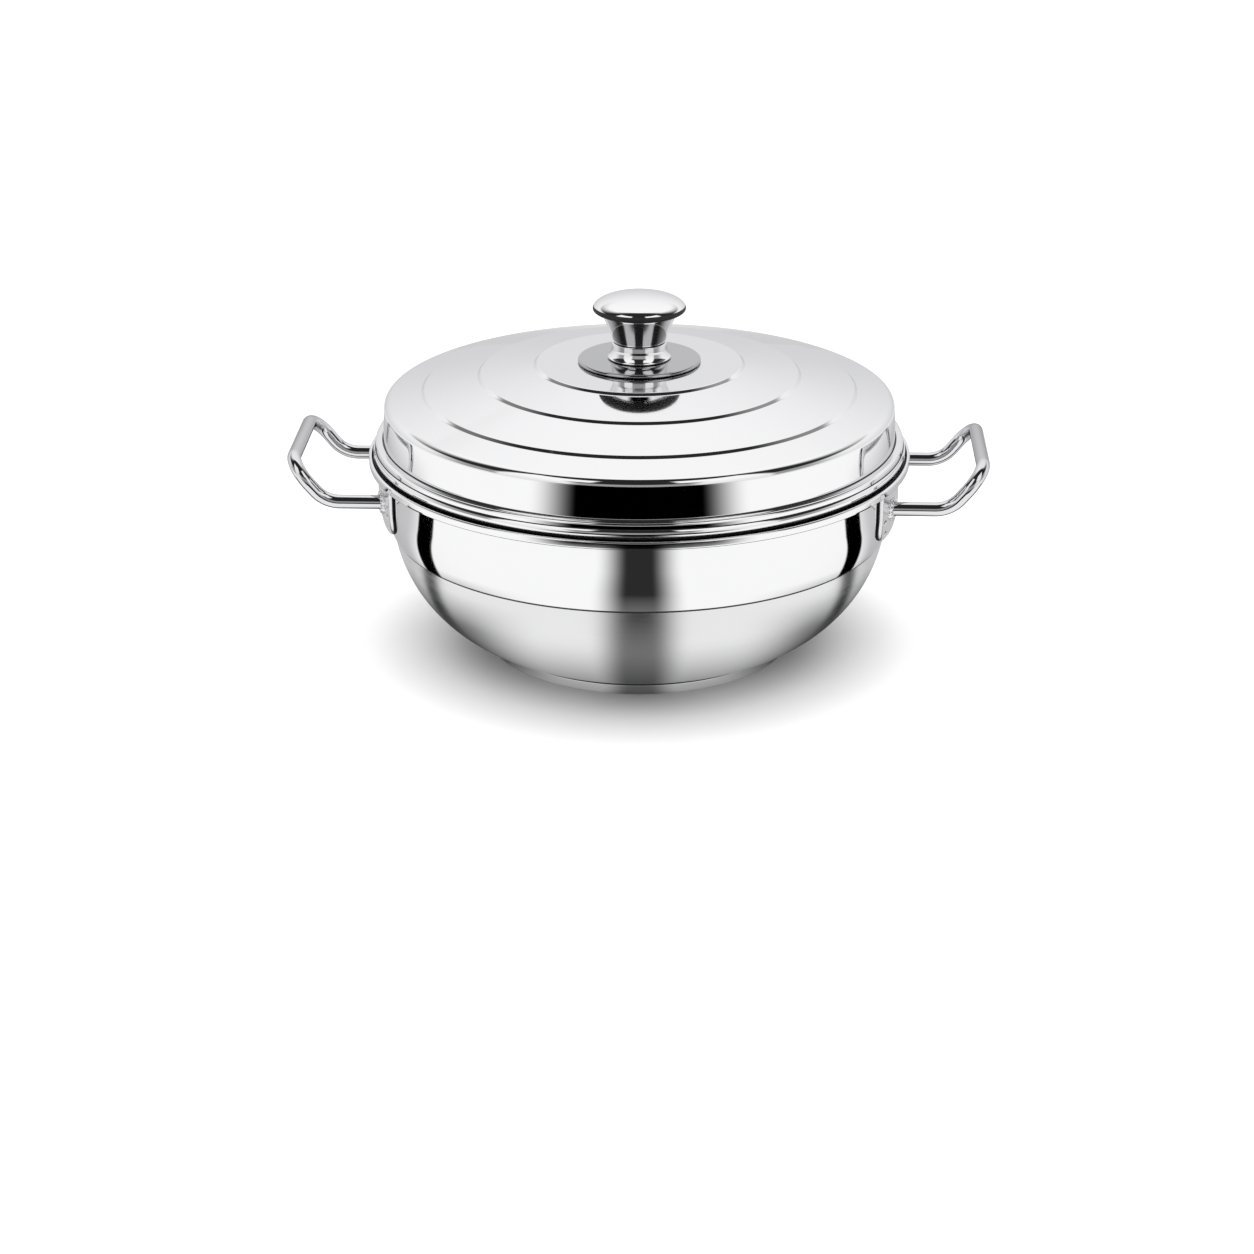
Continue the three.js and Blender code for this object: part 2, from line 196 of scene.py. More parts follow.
# %% [markdown]
# ## Satin stainless steel
# The lower bowl and the base were left satin: an abrasive pad was held to them as they turned. Reflections
# blur there into soft bands, and the brackets are satin too. Real pad lines are under a tenth of a
# millimetre, too fine for this picture, so they are drawn at about one millimetre, which is as coarse as
# they need to be to show. A little bump catches the light. The knob's saucer was rubbed with a cloth
# instead: it is finer and greyer, and still mirrors the knob.

# %% Satin steel
PAD_LINE_MM = 1.1
PAD_LINE_DEPTH_MM = 0.01
PAD_LINE_STRENGTH = 0.15


def satin_stainless(name, colour, smoothest, roughest):
    material, tree = blank_material(name)
    lines = marks_round_the_axis(tree, PAD_LINE_MM)
    rough = add(tree, "ShaderNodeMapRange", {
        "Value": lines, "From Min": 0.3, "From Max": 0.7, "To Min": smoothest, "To Max": roughest,
    })
    bump = add(tree, "ShaderNodeBump", {
        "Height": lines,
        "Distance": PAD_LINE_DEPTH_MM * MM,
        "Strength": PAD_LINE_STRENGTH,
    })
    steel = add(tree, "ShaderNodeBsdfPrincipled", {
        "Base Color": linear(colour),
        "Metallic": 1.0,
        "Roughness": rough,
        "Normal": bump,
    })
    add(tree, "ShaderNodeOutputMaterial", {"Surface": steel})
    return material


satin_steel = satin_stainless("satin_stainless_steel_pad_finished", "#ececed", 0.22, 0.27)
fine_satin_steel = satin_stainless("fine_satin_stainless_steel_cloth_finished", "#b4b4b6", 0.09, 0.12)
print(satin_steel.name, "and", fine_satin_steel.name, "with lines of", PAD_LINE_MM, "mm")

# %% [markdown]
# ## Small metals inside, and painted shade in grooves
# The screw, its washer and its insert are zinc-plated steel, which is greyer and a little cloudy. The core
# of the base is rolled aluminium. They hardly show, but the lid does lift, and then the screw's head can be
# seen. In seams, grooves, under the cap's rim and at the foot of the brackets' edges, shade is painted into
# the steel as a dark, cloudy colour. It is made less metallic there, so that the painted shade keeps dark at
# flat angles too. The same dark steel marks the dull pits that spot welding left on the brackets.

# %% Zinc plate, rolled aluminium and painted shade steel
CLOUD_ROUGHNESS_SPREAD = 0.08


def cloudy_metal(name, pale, dark, cloud_mm, roughness, metallic=1.0):
    material, tree = blank_material(name)
    place = add(tree, "ShaderNodeTexCoord")
    cloud = add(tree, "ShaderNodeTexNoise", {
        "Vector": place.outputs["Object"], "Scale": 1 / (cloud_mm * MM), "Detail": 4.0,
    })
    tint = add(tree, "ShaderNodeMix", {
        "Factor": cloud, 6: linear(pale), 7: linear(dark),
    }, data_type="RGBA")
    rough = add(tree, "ShaderNodeMapRange", {
        "Value": cloud,
        "To Min": roughness - CLOUD_ROUGHNESS_SPREAD,
        "To Max": roughness + CLOUD_ROUGHNESS_SPREAD,
    })
    metal = add(tree, "ShaderNodeBsdfPrincipled", {
        "Base Color": tint.outputs[2],
        "Metallic": metallic,
        "Roughness": rough,
    })
    add(tree, "ShaderNodeOutputMaterial", {"Surface": metal})
    return material


zinc_plate = cloudy_metal("zinc_plated_steel", "#c9cbcc", "#a9adb0", 3, 0.3)
rolled_aluminium = cloudy_metal("rolled_aluminium", "#c6c8ca", "#aeb0b3", 8, 0.45)
# Painted shade: a dark colour for grooves, seams, rims and edges where shade falls; it also marks the real
# weld pits.
painted_shade_and_spot_steel = cloudy_metal("steel_painted_shade_and_weld_spots", "#343435", "#1e1e1f", 4, 0.55, metallic=0.3)
print(zinc_plate.name, rolled_aluminium.name, painted_shade_and_spot_steel.name)

# %% [markdown]
# ## Drawing a half-section
# A turned piece is a line drawn beside the axis: each point has a radius and a height, in millimetres.
# Sheet metal can't be bent sharply, so each corner is given a bend radius and replaced by an arc that
# touches both runs. A mirror shows every flaw in the shading, so points also stand close to the ends of
# each straight run: there the smooth shading settles within a third of a millimetre and leaves the run
# itself true.

# %% Section helpers
BEND_STEP_DEGREES = 9
GUARD_MM = 0.3
SHORTEST_RUN_MM = 1.8
LONGEST_RUN_MM = 4.0


def arc(centre, radius, start, end, steps=None, height=None):
    """Points of an arc between two angles in degrees from outward. An oval has its own height."""
    steps = steps or max(2, math.ceil(abs(end - start) / BEND_STEP_DEGREES))
    height = height or radius
    turns = np.radians(np.linspace(start, end, steps + 1))
    return [(centre[0] + radius * math.cos(t), centre[1] + height * math.sin(t)) for t in turns]


def bent(corners):
    """A line through corners (radius, height, bend), with an arc in place of each corner that has a bend."""
    points = [np.array(corner[:2], float) for corner in corners]
    line = [points[0]]
    for i in range(1, len(points) - 1):
        bend = corners[i][2] if len(corners[i]) > 2 else 0
        back = points[i - 1] - points[i]
        ahead = points[i + 1] - points[i]
        back /= np.linalg.norm(back)
        ahead /= np.linalg.norm(ahead)
        half = math.acos(np.clip(back @ ahead, -1, 1)) / 2
        if bend == 0 or half > math.radians(89):
            line.append(points[i])
            continue
        middle = (back + ahead) / np.linalg.norm(back + ahead)
        centre = points[i] + middle * bend / math.sin(half)
        first = points[i] + back * bend / math.tan(half) - centre
        start = math.degrees(math.atan2(first[1], first[0]))
        turn = math.copysign(180 - 2 * math.degrees(half), ahead[0] * back[1] - ahead[1] * back[0])
        line.extend(np.array(p) for p in arc(centre, bend, start, start + turn))
    return line + [points[-1]]


def guarded(line):
    """The same line with more points: close to both ends of each long run, and along it."""
    full = [line[0]]
    for a, b in zip(line[:-1], line[1:]):
        a, b = np.array(a), np.array(b)
        length = np.linalg.norm(b - a)
        if length > SHORTEST_RUN_MM:
            count = math.ceil((length - 2 * GUARD_MM) / LONGEST_RUN_MM)
            full.extend(a + (b - a) * s for s in np.linspace(GUARD_MM, length - GUARD_MM, count + 1) / length)
        full.append(b)
    return full


def other_face(line, thickness):
    """The far face of a sheet: the line moved to the left of its direction by the sheet's thickness."""
    points = np.array(line)
    runs = np.diff(points, axis=0)
    left = np.column_stack([-runs[:, 1], runs[:, 0]]) / np.linalg.norm(runs, axis=1)[:, None]
    before = np.vstack([left[:1], left])
    after = np.vstack([left, left[-1:]])
    mitre = before + after
    mitre /= np.linalg.norm(mitre, axis=1)[:, None]
    return list(points + mitre * (thickness / np.sum(mitre * after, axis=1))[:, None])


print("a right-angled bend has", len(arc((0, 0), 1, 0, 90)), "points")

# %% [markdown]
# ## Turning the section with Geometry Nodes
# Spinning a profile by hand would work once. A node tree does it for every piece from the same rule: a grid
# has one column for each direction round the axis and one row for each point of the section. Every grid
# point reads its row's radius and height from the section and its column's angle from its number, and moves
# there. Merging closes the seam and the poles. A test marks the points of the section that take a second or
# a third finish, so one pressing can be half satin and have painted shade in its grooves.

# %% The turning tree
SEAM_DISTANCE = 1e-6
MARKED_ABOVE = 0.6


def start_tree(tree, inputs):
    """Gives a tree its inputs and its one output, the piece, and returns the inputs' sockets."""
    for name, kind in inputs.items():
        tree.interface.new_socket(name, in_out="INPUT", socket_type="NodeSocket" + kind)
    tree.interface.new_socket("Piece", in_out="OUTPUT", socket_type="NodeSocketGeometry")
    return add(tree, "NodeGroupInput").outputs


def turning_tree():
    tree = bpy.data.node_groups.new("turn_a_section", "GeometryNodeTree")
    given = start_tree(tree, {
        "Section": "Object", "Section Points": "Int", "Directions": "Int",
        "Finish": "Material", "Second Finish": "Material", "Third Finish": "Material",
    })
    section = add(tree, "GeometryNodeObjectInfo", {"Object": given["Section"]})
    columns = add(tree, "ShaderNodeMath", {0: given["Directions"], 1: 1.0}, operation="ADD")
    grid = add(tree, "GeometryNodeMeshGrid", {"Vertices X": columns, "Vertices Y": given["Section Points"]})
    number = add(tree, "GeometryNodeInputIndex")
    position = add(tree, "GeometryNodeInputPosition")
    row = add(tree, "ShaderNodeMath", {0: number, 1: given["Section Points"]}, operation="MODULO")
    share = add(tree, "ShaderNodeMath", {0: number, 1: given["Section Points"]}, operation="DIVIDE")
    column = add(tree, "ShaderNodeMath", {0: share}, operation="FLOOR")
    turn = add(tree, "ShaderNodeMath", {0: column, 1: given["Directions"]}, operation="DIVIDE")
    angle = add(tree, "ShaderNodeMath", {0: turn, 1: math.tau}, operation="MULTIPLY")
    point = add(tree, "GeometryNodeSampleIndex", {
        "Geometry": section.outputs["Geometry"],
        "Value": position,
        "Index": row,
    }, data_type="FLOAT_VECTOR", domain="POINT")
    place = add(tree, "ShaderNodeVectorRotate", {"Vector": point, "Angle": angle}, rotation_type="Z_AXIS")
    turned = add(tree, "GeometryNodeSetPosition", {"Geometry": grid, "Position": place})
    for mark in ("second", "third"):
        marked = add(tree, "GeometryNodeInputNamedAttribute", {"Name": mark}, data_type="FLOAT")
        carried = add(tree, "GeometryNodeSampleIndex", {
            "Geometry": section.outputs["Geometry"],
            "Value": marked.outputs["Attribute"],
            "Index": row,
        }, data_type="FLOAT", domain="POINT")
        turned = add(tree, "GeometryNodeStoreNamedAttribute", {
            "Geometry": turned,
            "Name": mark,
            "Value": carried,
        }, data_type="FLOAT", domain="POINT")
    closed = add(tree, "GeometryNodeMergeByDistance", {"Geometry": turned, "Distance": SEAM_DISTANCE})
    smooth = add(tree, "GeometryNodeSetShadeSmooth", {"Geometry": closed})
    real = add(tree, "GeometryNodeRealizeInstances", {"Geometry": smooth})
    finished = add(tree, "GeometryNodeSetMaterial", {"Geometry": real, "Material": given["Finish"]})
    for mark, finish in (("second", "Second Finish"), ("third", "Third Finish")):
        stored = add(tree, "GeometryNodeInputNamedAttribute", {"Name": mark}, data_type="FLOAT")
        chosen = add(tree, "FunctionNodeCompare", {
            "A": stored.outputs["Attribute"], "B": MARKED_ABOVE,
        }, operation="GREATER_THAN", data_type="FLOAT")
        finished = add(tree, "GeometryNodeSetMaterial", {
            "Geometry": finished,
            "Selection": chosen,
            "Material": given[finish],
        })
    add(tree, "NodeGroupOutput", {0: finished})
    return tree


def grown(name, tree, **values):
    """A mesh object made by a node tree, with its inputs set by socket identifier, and no modifier left."""
    piece = bpy.data.objects.new(name, bpy.data.meshes.new(name))
    bpy.context.collection.objects.link(piece)
    modifier = piece.modifiers.new("grown", "NODES")
    modifier.node_group = tree
    for socket in tree.interface.items_tree:
        if socket.in_out == "INPUT" and socket.name in values:
            modifier[socket.identifier] = values[socket.name]
    graph = bpy.context.evaluated_depsgraph_get()
    mesh = bpy.data.meshes.new_from_object(piece.evaluated_get(graph))
    piece.modifiers.clear()
    piece.data = mesh
    mesh.name = name
    for slot in reversed(range(len(mesh.materials))):
        if mesh.materials[slot] is None:
            mesh.materials.pop(index=slot)
    return piece


def line_object(name, points):
    """A chain of edges through points in millimetres, for a node tree to read."""
    mesh = bpy.data.meshes.new(name)
    mesh.from_pydata(np.array(points) * MM, [(i, i + 1) for i in range(len(points) - 1)], [])
    drawing = bpy.data.objects.new(name, mesh)
    bpy.context.collection.objects.link(drawing)
    return drawing


turn_a_section = turning_tree()


def turned_piece(name, section, finish, directions=256, second=None, third=None):
    """A piece turned from points (radius, height). Second and third each hold a finish and a test."""
    points = guarded(section)
    drawing = line_object(name + "_section", [(r, 0, z) for r, z in points])
    finishes = [finish]
    for mark, more in (("second", second), ("third", third)):
        material, covers = more or (finish, lambda r, z: False)
        shares = drawing.data.attributes.new(mark, "FLOAT", "POINT")
        shares.data.foreach_set("value", [float(covers(r, z)) for r, z in points])
        finishes.append(material)
    piece = grown(name, turn_a_section, **{
        "Section": drawing,
        "Section Points": len(points),
        "Directions": directions,
        "Finish": finishes[0],
        "Second Finish": finishes[1],
        "Third Finish": finishes[2],
    })
    bpy.data.objects.remove(drawing)
    for mark in ("second", "third"):
        piece.data.attributes.remove(piece.data.attributes[mark])
    print(name, len(piece.data.polygons), "faces,", [m.name for m in piece.data.materials])
    return piece


def fit(piece, body, node):
    """Puts a finished piece in the place of its solid."""
    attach(piece, body)
    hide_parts(node)


def widest(node):
    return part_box(node)[1][0] / MM


def lowest(node):
    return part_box(node)[0][2] / MM


def highest(node):
    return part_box(node)[1][2] / MM


print("turning tree with", len(turn_a_section.nodes), "nodes")

# %% [markdown]
# ## The bowl
# One blank of steel is pressed into a flat floor, a round lower bowl, a small step that stiffens it, and an
# upper wall that curves like a barrel before it stands upright. At the top it turns out into a ledge for
# the lid, and the edge is folded on itself into a smooth hem. The outside face is drawn first. The inside
# face is the same line one sheet further in. Mirror polish lies above the step and satin below it, and the
# fine dark lines at the step and the hem are shade painted on as a dark colour.

# %% Bowl
BOWL_SHEET = 1.0
FLOOR_EDGE_INSET = 1.8
STEP_HEIGHT = 64.2
STEP_INSET = 0.9
STEP_DROP = 1.1
STEP_BEND = 0.35
LOWER_LEAN = 9
WALL_DRAW_IN = 4.4
WALL_CURVE_HEIGHT = 21
LEDGE_WIDTH = 5.4
LEDGE_BEND = 1.4
HEM_RISE = 1.0
HEM_DEPTH = 4.0
HEM_BEND = 0.9
HEM_FOLD_BEND = 0.25
HEM_BOTTOM_BENDS = (0.5, 0.6)
HEM_LINE = 0.5
SEAM_INSIDE = 1.0
SEAM_OUTSIDE = 0.5
STEP_LINE_BELOW = 0.1
STEP_LINE_ABOVE = 0.05
SATIN_MARGIN = 0.01
LOWER_STEPS = 48
WALL_STEPS = 18
PRESSING_DIRECTIONS = 288

base_radius = widest("base_capsule")
floor_height = lowest("bowl_shell")
hem_radius = widest("bowl_shell")
hem_top = highest("bowl_shell")
hem_inside = hem_radius - 2 * BOWL_SHEET
mouth_radius = hem_inside - LEDGE_WIDTH
wall_radius = mouth_radius + BOWL_SHEET
ledge_height = hem_top - HEM_RISE
under_ledge = ledge_height - BOWL_SHEET
barrel_radius = (WALL_CURVE_HEIGHT ** 2 + WALL_DRAW_IN ** 2) / (2 * WALL_DRAW_IN)
barrel_lean = math.degrees(math.asin(WALL_CURVE_HEIGHT / barrel_radius))


def lower_bowl():
    """The arc from the floor's edge to the step, which leans in a little at the step."""
    step = np.array([wall_radius - WALL_DRAW_IN - STEP_INSET, STEP_HEIGHT - STEP_DROP])
    edge = np.array([base_radius - FLOOR_EDGE_INSET, floor_height])
    lean = math.radians(LOWER_LEAN)
    outward = np.array([math.cos(lean), -math.sin(lean)])
    chord = step - edge
    radius = chord @ chord / (2 * chord @ outward)
    centre = step - radius * outward
    start = math.degrees(math.atan2(*(edge - centre)[::-1]))
    return arc(centre, radius, start, -LOWER_LEAN, LOWER_STEPS)


def upper_wall():
    """The barrel curve from the step up to where the wall stands upright."""
    centre = (wall_radius - barrel_radius, STEP_HEIGHT + WALL_CURVE_HEIGHT)
    return arc(centre, barrel_radius, -barrel_lean, 0, WALL_STEPS)


def bowl_section():
    below, above = lower_bowl(), upper_wall()
    outside = bent([
        (0, floor_height),
        *below[:-1],
        (*below[-1], STEP_BEND),
        (*above[0], STEP_BEND),
        *above[1:],
        (wall_radius, under_ledge, LEDGE_BEND),
        (hem_inside, under_ledge),
    ])
    inside = other_face(outside, BOWL_SHEET)[::-1]
    hem_bottom = hem_top - HEM_DEPTH
    hem = bent([
        outside[-2],
        (hem_inside, under_ledge, HEM_FOLD_BEND),
        (hem_inside, hem_bottom, HEM_BOTTOM_BENDS[0]),
        (hem_radius, hem_bottom, HEM_BOTTOM_BENDS[1]),
        (hem_radius, hem_top, HEM_BEND),
        (hem_inside, hem_top, HEM_BEND),
        (hem_inside, ledge_height, HEM_FOLD_BEND),
        inside[1],
    ])
    return outside[:-2] + hem + inside[2:]


def is_satin(r, z):
    return z < STEP_HEIGHT - STEP_DROP - SATIN_MARGIN


def painted_shade_in_bowl_grooves(r, z):
    """Painted shade: the step's little riser, the hem's inner side down to the ledge, and the hem's lower
    edge.
    """
    step_inside = wall_radius - WALL_DRAW_IN - STEP_INSET - BOWL_SHEET / 2
    step_bottom = STEP_HEIGHT - STEP_DROP - STEP_LINE_BELOW
    on_step = r > step_inside and step_bottom < z < STEP_HEIGHT + STEP_LINE_ABOVE
    across_seam = hem_inside - SEAM_INSIDE < r < hem_inside + SEAM_OUTSIDE
    by_hem = across_seam and z > ledge_height - STEP_LINE_BELOW
    hem_edge = math.dist((r, z), (hem_radius, hem_top - HEM_DEPTH)) < HEM_LINE
    return on_step or by_hem or hem_edge


bowl = turned_piece(
    "bowl", bowl_section(), mirror_steel, PRESSING_DIRECTIONS,
    second=(satin_steel, is_satin), third=(painted_shade_and_spot_steel, painted_shade_in_bowl_grooves),
)
fit(bowl, "bowl", "bowl_shell")

# %% [markdown]
# ## The base
# Under the floor lies an aluminium disc that spreads the heat, and a satin steel pan pressed over it lets
# the kadai work on an induction hob. Only the pan's rounded edge shows. The disc keeps its solid, with
# rolled aluminium on it.

# %% Base
PAN_SHEET = 0.8
PAN_CORNER = 1.4
PAN_EDGE_BEND = 0.3
PAN_INNER_BEND = 0.4

pan_top = highest("base_capsule")
pan_inside = base_radius - PAN_SHEET
base_pan = turned_piece("base_pan", bent([
    (0, 0),
    (base_radius, 0, PAN_CORNER),
    (base_radius, pan_top, PAN_EDGE_BEND),
    (pan_inside, pan_top, PAN_EDGE_BEND),
    (pan_inside, PAN_SHEET, PAN_INNER_BEND),
    (0, PAN_SHEET),
]), satin_steel)
fit(base_pan, "bowl", "base_capsule")
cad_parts["base_core"].material_slots[0].material = rolled_aluminium

# %% [markdown]
# ## The lid
# The lid is pressed with three rings that stiffen its crown. Each ring is a small riser between two gently
# sloping panels, and on a mirror finish it reads as one dark line. The shoulder rolls into an upright wall,
# then comes a flange, and the edge is turned down and curled under into a bead, so that no raw edge is left
# to cut a hand. The bead is an arc of more than half a turn, joined to the flange by a tight inner bend.
# Under the bead, in the crease above it and along the foot of the wall, shade is painted into the steel as
# a dark colour, and these show as fine dark lines.

# %% Lid
LID_SHEET = 0.8
LID_WALL_INSET = 0.2
LID_PLAY = 0.4
CURL_RADIUS = 3.2
CURL_START = 50
CURL_END = -190
CREASE_WIDTH = 0.7
CREASE_BEND = 0.3
FOOT_BEND = 0.9
FOOT_LINE = 0.65
BEAD_INSET = 1.0
BEAD_SHADE = 0.25
LID_SEAT = 0.3
LIP_HEIGHT = 2.3
LIP_BEND = 1.5
SHOULDER_HEIGHT = 19.3
SHOULDER_BEND = 4.2
WALL_LEAN = 0.8
OUTER_RING_INSET = 19.0
RING_SPACING = 28.4
RING_HEIGHTS = (36.3, 31.0, 23.6)
RING_RISE = 1.4
RING_BEND = 0.8
SCREW_HOLE = 2.8

curl_height = ledge_height + LID_SEAT + CURL_RADIUS
curl_centre = (hem_inside - LID_PLAY - CURL_RADIUS, curl_height)
flange_height = curl_height + CURL_RADIUS + LIP_HEIGHT
lid_wall_radius = mouth_radius - LID_WALL_INSET
crown_top = highest("lid_shell")


def lid_section():
    shoulder = (lid_wall_radius - WALL_LEAN, flange_height + SHOULDER_HEIGHT)
    corners = [(SCREW_HOLE, crown_top)]
    for i, ring_height in enumerate(RING_HEIGHTS):
        foot = shoulder[0] - OUTER_RING_INSET - (2 - i) * RING_SPACING
        corners.append((foot - RING_RISE, flange_height + ring_height + RING_RISE, RING_BEND))
        corners.append((foot, flange_height + ring_height, RING_BEND))
    curl = arc(curl_centre, CURL_RADIUS, CURL_START, CURL_END)
    corners += [
        (*shoulder, SHOULDER_BEND),
        (lid_wall_radius, flange_height, FOOT_BEND),
        (curl[0][0], flange_height, LIP_BEND),
        (*curl[0], CREASE_BEND),
        *curl[1:],
    ]
    top = bent(corners)
    underside = other_face(top, -LID_SHEET)
    return underside + top[::-1] + underside[:1]


def painted_shade_in_lid_grooves(r, z):
    """Painted shade: the underside of the bead, the crease between it and the flange's lip, and the foot of
    the wall.
    """
    under_bead = r > lid_wall_radius + BEAD_INSET and z < curl_height - BEAD_SHADE * CURL_RADIUS
    crease = arc(curl_centre, CURL_RADIUS, CURL_START, CURL_END)[0]
    by_crease = math.dist((r, z), crease) < CREASE_WIDTH
    by_foot = math.dist((r, z), (lid_wall_radius, flange_height)) < FOOT_LINE
    return under_bead or by_crease or by_foot


lid = turned_piece(
    "lid", lid_section(), mirror_steel, PRESSING_DIRECTIONS, third=(painted_shade_and_spot_steel, painted_shade_in_lid_grooves),
)
fit(lid, "lid", "lid_shell")

# %% [markdown]
# ## The knob
# The knob is built up from four turned pieces on one screw: a flat saucer with a turned-down edge that
# hides the lid's middle, a waisted ferrule, a flared cup and a domed cap whose skirt drops into the cup.
# They are separate sections, because on the real knob the fine dark joints between them show. The saucer
# comes first, in the cloth's finish, then the ferrule: its waist could be an arc, but a curve with one
# control point flares at the foot and stands straight at the top, as a spun ferrule does.

# %% Knob saucer and ferrule
SAUCER_SHEET = 0.9
SAUCER_LIFT = 0.8
SAUCER_EDGE = 1.3
SEAT_GAP = 0.3
COLLAR_FOOT_BEND = 0.5
COLLAR_TOP_RADIUS = 13.9
COLLAR_LAND = 2.2
COLLAR_FLARE = 2.4
COLLAR_EDGE_BEND = 0.3
KNOB_DIRECTIONS = 160


def hollow_curve(start, control, end, steps=10):
    """A smooth curve that leaves start towards control and arrives at end from it."""
    start, control, end = (np.array(p, float) for p in (start, control, end))
    shares = np.linspace(0, 1, steps + 1)[:, None]
    return list((1 - shares) ** 2 * start + 2 * shares * (1 - shares) * control + shares ** 2 * end)


def saucer_section():
    radius, bottom = widest("knob_saucer"), lowest("knob_saucer")
    top = bottom + SAUCER_SHEET + SAUCER_LIFT
    edge = arc((radius - SAUCER_EDGE, top - SAUCER_EDGE), SAUCER_EDGE, 90, -5)
    face = [np.array((SCREW_HOLE, top)), *edge]
    underside = other_face(face, -SAUCER_SHEET)
    return underside + face[::-1] + underside[:1]


def ferrule_section():
    bottom, top = lowest("knob_collar") + SAUCER_LIFT, highest("knob_collar")
    centre = (widest("knob_collar") - COLLAR_FOOT_BEND, bottom + COLLAR_FOOT_BEND)
    foot = arc(centre, COLLAR_FOOT_BEND, -90, 20)
    control = (COLLAR_TOP_RADIUS, bottom + COLLAR_FLARE)
    waist = hollow_curve(foot[-1], control, (COLLAR_TOP_RADIUS, top - COLLAR_LAND))
    return bent([
        (SCREW_HOLE, bottom),
        *foot,
        *waist[1:],
        (COLLAR_TOP_RADIUS, top, COLLAR_EDGE_BEND),
        (SCREW_HOLE, top),
        (SCREW_HOLE, bottom),
    ])


saucer = turned_piece("knob_saucer_dish", saucer_section(), fine_satin_steel, KNOB_DIRECTIONS)
fit(saucer, "lid", "knob_saucer")
ferrule = turned_piece("knob_ferrule", ferrule_section(), mirror_steel, KNOB_DIRECTIONS)
fit(ferrule, "lid", "knob_collar")

# %% [markdown]
# ## The knob's cup and cap
# The cup is a thin taper that opens upwards, a little hollow in the flank. The cap is spun sheet: a dome that
# is half an oval, a tighter oval under the rim, and a skirt that drops into the cup. Ovals give the dome its
# soft top and quick turn at the rim, which one arc can't. The rim's edge and its underside have painted
# shade.

# %% Knob cup and cap
CUP_BOTTOM_RADIUS = 13.0
CUP_HOLLOW = 0.15
CUP_SHEET = 0.9
CUP_FLOOR = 1.2
CUP_FLANK_POINTS = 19
CUP_FOOT_BEND = 0.3
CUP_RIM_BEND = 0.25
CAP_SEAT_WIDTH = 0.4
CAP_UNDERSIDE = 2.1
CAP_SHEET = 0.9
CAP_SKIRT = 3.6
CAP_SKIRT_BEND = 0.2
CAP_SHADE = 1.8
CAP_INSIDE_STEPS = 10
CAP_RIM_STEPS = 12
CAP_DOME_STEPS = 48

cup_bottom, cup_top = lowest("knob_cup"), highest("knob_cup")
cup_top_radius = widest("knob_cup")
cap_radius, cap_top = widest("knob_cap"), highest("knob_cap")
cap_bottom = cup_top + SEAT_GAP


def cup_radius_at(share):
    """The cup's outside at a share of its height: a taper that opens upwards, a little hollow."""
    straight = CUP_BOTTOM_RADIUS + (cup_top_radius - CUP_BOTTOM_RADIUS) * share
    return straight - CUP_HOLLOW * math.sin(math.pi * share)


def cup_section():
    shares = np.linspace(0, 1, CUP_FLANK_POINTS)
    flank = [(cup_radius_at(s), cup_bottom + (cup_top - cup_bottom) * s) for s in shares]
    floor = cup_bottom + CUP_FLOOR
    inside = [(r - CUP_SHEET, z) for r, z in flank if z > floor]
    return bent([
        (SCREW_HOLE, cup_bottom),
        (*flank[0], CUP_FOOT_BEND),
        *flank[1:-1],
        (*flank[-1], CUP_RIM_BEND),
        (*inside[-1], CUP_RIM_BEND),
        *inside[-2::-1],
        (cup_radius_at(0) - CUP_SHEET, floor),
        (SCREW_HOLE, floor),
        (SCREW_HOLE, cup_bottom),
    ])


def cap_section():
    rim = cap_bottom + CAP_UNDERSIDE
    dome = cap_top - rim
    seat = cup_top_radius + CAP_SEAT_WIDTH
    skirt = cup_top_radius - CUP_SHEET - SEAT_GAP
    skirt_foot = cup_radius_at(1 - CAP_SKIRT / (cup_top - cup_bottom)) - CUP_SHEET - SEAT_GAP
    skirt_bottom = cap_bottom - SEAT_GAP - CAP_SKIRT
    inner = math.degrees(math.acos((skirt - CAP_SHEET) / (cap_radius - CAP_SHEET)))
    return bent([
        *arc((0, rim), cap_radius - CAP_SHEET, 90, inner, CAP_INSIDE_STEPS, dome - CAP_SHEET),
        (skirt_foot - CAP_SHEET, skirt_bottom),
        (skirt_foot, skirt_bottom),
        (skirt, cap_bottom, CAP_SKIRT_BEND),
        *arc((seat, rim), cap_radius - seat, -90, 0, CAP_RIM_STEPS, CAP_UNDERSIDE),
        *arc((0, rim), cap_radius, 0, 90, CAP_DOME_STEPS, dome)[1:],
    ])


def painted_shade_under_cap_rim(r, z):
    """Painted shade on the rim's edge and its underside."""
    return r > cup_top_radius and z < cap_bottom + CAP_SHADE * CAP_UNDERSIDE


cup = turned_piece("knob_flared_cup", cup_section(), mirror_steel, KNOB_DIRECTIONS)
fit(cup, "lid", "knob_cup")
cap = turned_piece(
    "knob_domed_cap", cap_section(), mirror_steel, KNOB_DIRECTIONS, second=(painted_shade_and_spot_steel, painted_shade_under_cap_rim),
)
fit(cap, "lid", "knob_cap")
for node in ("knob_insert", "knob_washer", "knob_screw"):
    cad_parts[node].material_slots[0].material = zinc_plate

# %% [markdown]
# ## The wire handles
# Each handle is one length of round wire: two legs straight out from the wall, bent up and out to a grip
# that stands clear of the rim. A curve with a round profile is the natural way. The node tree takes the
# corners of the route, rounds each by its own bend radius with Fillet Curve, and sweeps a circle along the
# result.

